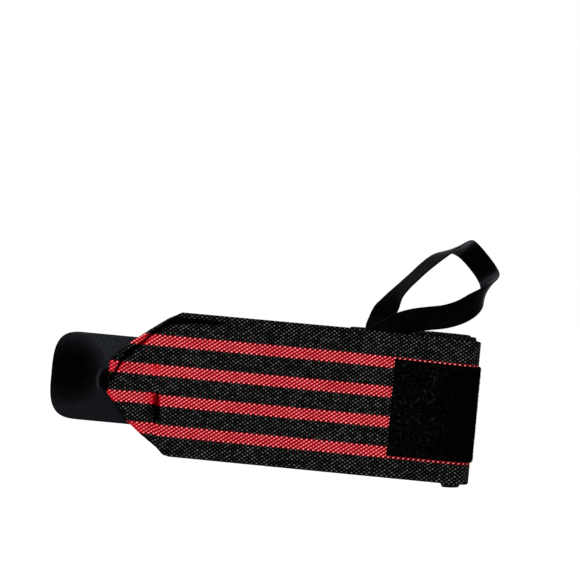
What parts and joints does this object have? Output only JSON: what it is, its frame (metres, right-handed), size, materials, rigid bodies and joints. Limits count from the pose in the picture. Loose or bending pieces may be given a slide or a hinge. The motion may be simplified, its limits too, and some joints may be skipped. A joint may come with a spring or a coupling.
{
  "type": "wrist wrap",
  "caption": "Wide striped elastic band wound round a wrist with its tapered free end pulled out flat, a hook tab at the tip, a loop patch and a flat elastic thumb loop.",
  "frame": {"origin": "middle of the hollow for the wrist, half way up the band's width", "axes": "+Z along the forearm towards the fingers, -Y the palm side, +X the thumb side, where the outer turn bends back; the free end is pulled out along -X"},
  "size_m": [0.2421, 0.0539, 0.1365],
  "materials": {
    "elastic_webbing": "coarse woven elastic webbing, black flecked with grey, with four red woven stripes",
    "pile": "dense black brushed loop pile",
    "hook_tape": "satin black ribbed tape with moulded hooks on its back",
    "ribbon": "smooth black flat elastic"
  },
  "bodies": {
    "root": {"elastic_band": "elastic_webbing", "loop_patch": "pile", "hook_tab": "hook_tape", "thumb_loop": "ribbon"}
  },
  "joints": []
}
